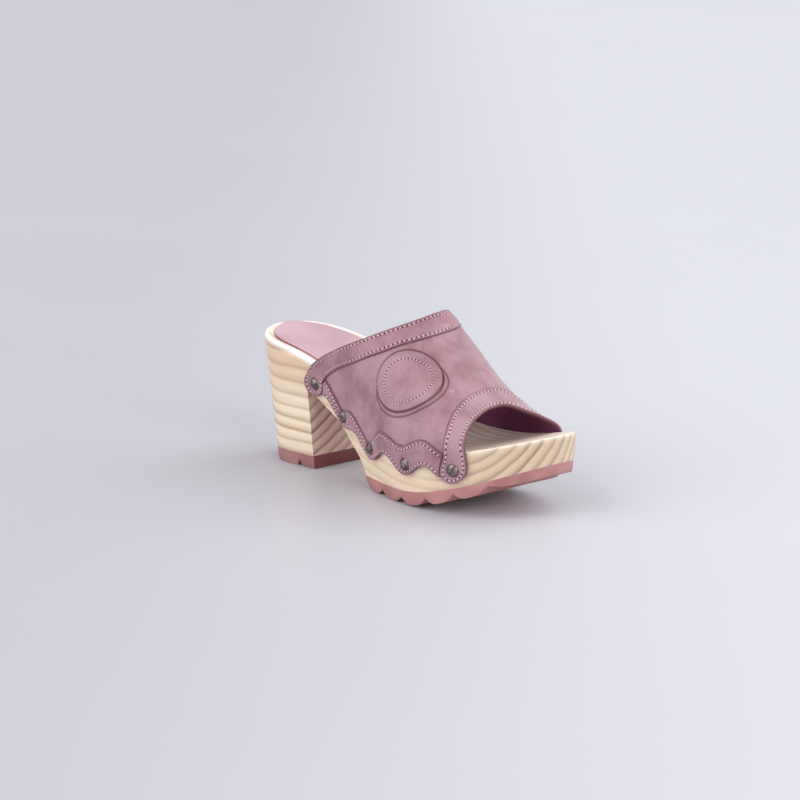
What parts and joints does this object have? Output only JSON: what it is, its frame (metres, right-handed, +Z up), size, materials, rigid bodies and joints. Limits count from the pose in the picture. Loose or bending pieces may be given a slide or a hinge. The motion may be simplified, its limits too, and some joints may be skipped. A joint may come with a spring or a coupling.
{
  "type": "heeled leather mule",
  "caption": "Right-foot open-toed leather mule: scalloped, nailed upper on a carved wooden platform sole with a block heel and a lugged rubber outsole.",
  "frame": {"origin": "on the floor, under the middle of the shoe's box", "axes": "+X to the toe, +Y to the wearer's left (the inner side of this right shoe), +Z up"},
  "size_m": [0.2492, 0.0954, 0.1104],
  "materials": {
    "wood": "smooth waxed pale softwood with tan growth rings",
    "rubber": "matt dusty pink-brown",
    "vamp_leather": "waxed nubuck, dusty mauve",
    "band_leather": "waxed nubuck, darker mauve",
    "pad_leather": "smooth pale pink lining leather",
    "nail_metal": "antique dark domed heads"
  },
  "bodies": {
    "root": {"wooden_sole": "wood", "heel_top_lift": "rubber", "forefoot_outsole": "rubber", "insole_pad": "pad_leather", "upper": "vamp_leather", "collar_band": "band_leather", "toe_band": "band_leather", "side_band_outer": "band_leather", "side_band_inner": "band_leather", "side_patch": "vamp_leather", "nail_outer_1": "nail_metal", "nail_outer_2": "nail_metal", "nail_outer_3": "nail_metal", "nail_outer_4": "nail_metal", "nail_outer_5": "nail_metal", "nail_inner_1": "nail_metal", "nail_inner_2": "nail_metal", "nail_inner_3": "nail_metal", "nail_inner_4": "nail_metal", "nail_inner_5": "nail_metal"}
  },
  "joints": []
}
